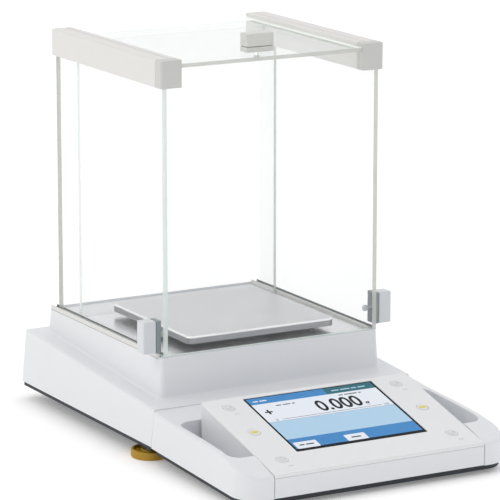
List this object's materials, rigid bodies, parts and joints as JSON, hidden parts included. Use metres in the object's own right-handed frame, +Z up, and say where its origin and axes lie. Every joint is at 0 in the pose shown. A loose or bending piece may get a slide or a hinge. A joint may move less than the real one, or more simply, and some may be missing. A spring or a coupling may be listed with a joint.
{
  "type": "analytical balance",
  "caption": "Benchtop analytical balance: sloping housing, square steel pan in a glass draft shield with sliding doors and top cover, and a tilting touch display in front.",
  "frame": {"origin": "on the table, under the middle of the balance's bounding box", "axes": "+Z up, +Y from the control unit in front to the rear wall, +X to the right as the user sees it"},
  "size_m": [0.257, 0.402, 0.3414],
  "materials": {
    "housing": "fine-grained injection moulding, white",
    "keys": "satin moulding, white",
    "tray": "textured moulding, near black",
    "rails": "satin, warm light grey",
    "glass": "clear float glass with green polished edges",
    "handles": "satin, cool light grey",
    "spacers": "satin, mid grey",
    "pan": "fine straight brush marks, polished rim",
    "machined": "machined",
    "steel": "turned",
    "screen": "glossy screen",
    "brass": "turned",
    "board": "solder mask",
    "yellow": "mustard yellow",
    "rubber": "moulded"
  },
  "bodies": {
    "root": {"base_shell": "housing", "bottom_tray": "tray", "plinth_cover": "housing", "rear_panel": "tray", "power_socket": "steel", "data_port": "steel", "rear_left_foot": "rubber", "rear_right_foot": "rubber", "front_left_pad": "rubber", "front_right_pad": "rubber", "level_housing": "tray", "level_vial": "yellow", "weigh_cell_frame": "machined", "coil_magnet": "steel", "load_receptor": "steel", "calibration_motor": "tray", "main_board": "board", "chamber_floor": "pan", "left_door_guide": "rails", "right_door_guide": "rails", "left_rail": "rails", "right_rail": "rails", "left_rail_cap": "rails", "right_rail_cap": "rails", "front_pane": "glass", "rear_pane": "glass", "control_carrier": "housing", "carrier_tray": "tray", "left_hinge_pin": "steel", "right_hinge_pin": "steel"},
    "pan": {"weighing_pan": "pan", "pan_support": "machined"},
    "left_door": {"left_door_glass": "glass", "left_door_spacer": "spacers", "left_door_handle": "handles", "left_door_screw": "handles"},
    "right_door": {"right_door_glass": "glass", "right_door_spacer": "spacers", "right_door_handle": "handles", "right_door_screw": "handles"},
    "top_cover": {"top_cover_glass": "glass", "top_cover_spacer": "spacers", "top_cover_handle": "handles", "top_cover_screw": "handles"},
    "display": {"display_housing": "housing", "display_bezel": "housing", "touch_screen": "screen", "display_board": "board"},
    "calibration_weight": {"calibration_weight": "brass"},
    "key_left_top": {"key_left_top": "keys"},
    "key_left_middle": {"key_left_middle": "keys"},
    "key_left_bottom": {"key_left_bottom": "keys"},
    "key_right_top": {"key_right_top": "keys"},
    "key_right_middle": {"key_right_middle": "keys"},
    "key_right_bottom": {"key_right_bottom": "keys"},
    "left_level_stem": {"left_level_stem": "steel"},
    "left_level_wheel": {"left_level_wheel": "yellow"},
    "right_level_stem": {"right_level_stem": "steel"},
    "right_level_wheel": {"right_level_wheel": "yellow"}
  },
  "joints": [
    {"name": "pan_lift", "type": "slide", "parent": "root", "child": "pan", "axis": [0, 0, 1], "range_m": [0, 0.1]},
    {"name": "left_door_slide", "type": "slide", "parent": "root", "child": "left_door", "axis": [0, 1, 0], "range_m": [0, 0.145]},
    {"name": "right_door_slide", "type": "slide", "parent": "root", "child": "right_door", "axis": [0, 1, 0], "range_m": [0, 0.145]},
    {"name": "top_cover_slide", "type": "slide", "parent": "root", "child": "top_cover", "axis": [0, 1, 0], "range_m": [0, 0.13]},
    {"name": "display_tilt", "type": "hinge", "parent": "root", "child": "display", "pos_m": [0, -0.198, 0.0112], "axis": [1, 0, 0], "range_deg": [0, 12]},
    {"name": "calibration_lift", "type": "slide", "parent": "root", "child": "calibration_weight", "axis": [0, 0, 1], "range_m": [0, 0.003]},
    {"name": "key_left_top_press", "type": "slide", "parent": "display", "child": "key_left_top", "axis": [0, 0.2394, -0.9709], "range_m": [0, 0.0008], "stiffness_N_per_m": 400},
    {"name": "key_left_middle_press", "type": "slide", "parent": "display", "child": "key_left_middle", "axis": [0, 0.2394, -0.9709], "range_m": [0, 0.0008], "stiffness_N_per_m": 400},
    {"name": "key_left_bottom_press", "type": "slide", "parent": "display", "child": "key_left_bottom", "axis": [0, 0.2394, -0.9709], "range_m": [0, 0.0008], "stiffness_N_per_m": 400},
    {"name": "key_right_top_press", "type": "slide", "parent": "display", "child": "key_right_top", "axis": [0, 0.2394, -0.9709], "range_m": [0, 0.0008], "stiffness_N_per_m": 400},
    {"name": "key_right_middle_press", "type": "slide", "parent": "display", "child": "key_right_middle", "axis": [0, 0.2394, -0.9709], "range_m": [0, 0.0008], "stiffness_N_per_m": 400},
    {"name": "key_right_bottom_press", "type": "slide", "parent": "display", "child": "key_right_bottom", "axis": [0, 0.2394, -0.9709], "range_m": [0, 0.0008], "stiffness_N_per_m": 400},
    {"name": "left_level_lift", "type": "slide", "parent": "root", "child": "left_level_stem", "axis": [0, 0, 1], "range_m": [0, 0.004]},
    {"name": "left_level_turn", "type": "hinge", "parent": "left_level_stem", "child": "left_level_wheel", "pos_m": [-0.112, -0.02, 0], "axis": [0, 0, 1], "range_deg": [0, 1440]},
    {"name": "right_level_lift", "type": "slide", "parent": "root", "child": "right_level_stem", "axis": [0, 0, 1], "range_m": [0, 0.004]},
    {"name": "right_level_turn", "type": "hinge", "parent": "right_level_stem", "child": "right_level_wheel", "pos_m": [0.112, -0.02, 0], "axis": [0, 0, 1], "range_deg": [0, 1440]}
  ],
  "couplings": [
    {"joint": "left_level_turn", "follows": "left_level_lift", "rad_per_m": 6283.2},
    {"joint": "right_level_turn", "follows": "right_level_lift", "rad_per_m": 6283.2}
  ]
}
